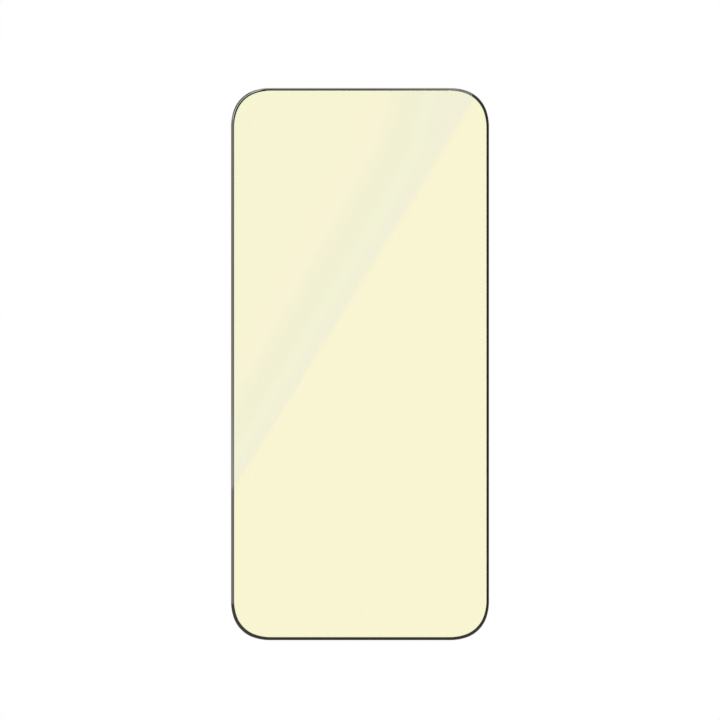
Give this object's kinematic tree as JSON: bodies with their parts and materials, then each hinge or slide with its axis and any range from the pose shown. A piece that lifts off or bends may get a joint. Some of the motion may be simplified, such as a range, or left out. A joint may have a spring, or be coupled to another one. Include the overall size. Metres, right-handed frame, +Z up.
{
  "type": "phone screen protector",
  "caption": "Pale yellow tinted tempered-glass sheet with rounded corners, a rolled top edge and a thin black printed border, stuck over a phone's display to guard it.",
  "frame": {"origin": "middle of the flat underside, the face that sticks to the phone", "axes": "+Z up out of the glass towards the person looking at it, +Y along the length to the top of the phone, +X across the width"},
  "size_m": [0.0684, 0.1466, 0.0004],
  "materials": {
    "tinted_glass": "polished, pale yellow tint",
    "black_print": "black screen-printed ink behind glass"
  },
  "bodies": {
    "root": {"glass_sheet": "tinted_glass", "border_print": "black_print"}
  },
  "joints": []
}
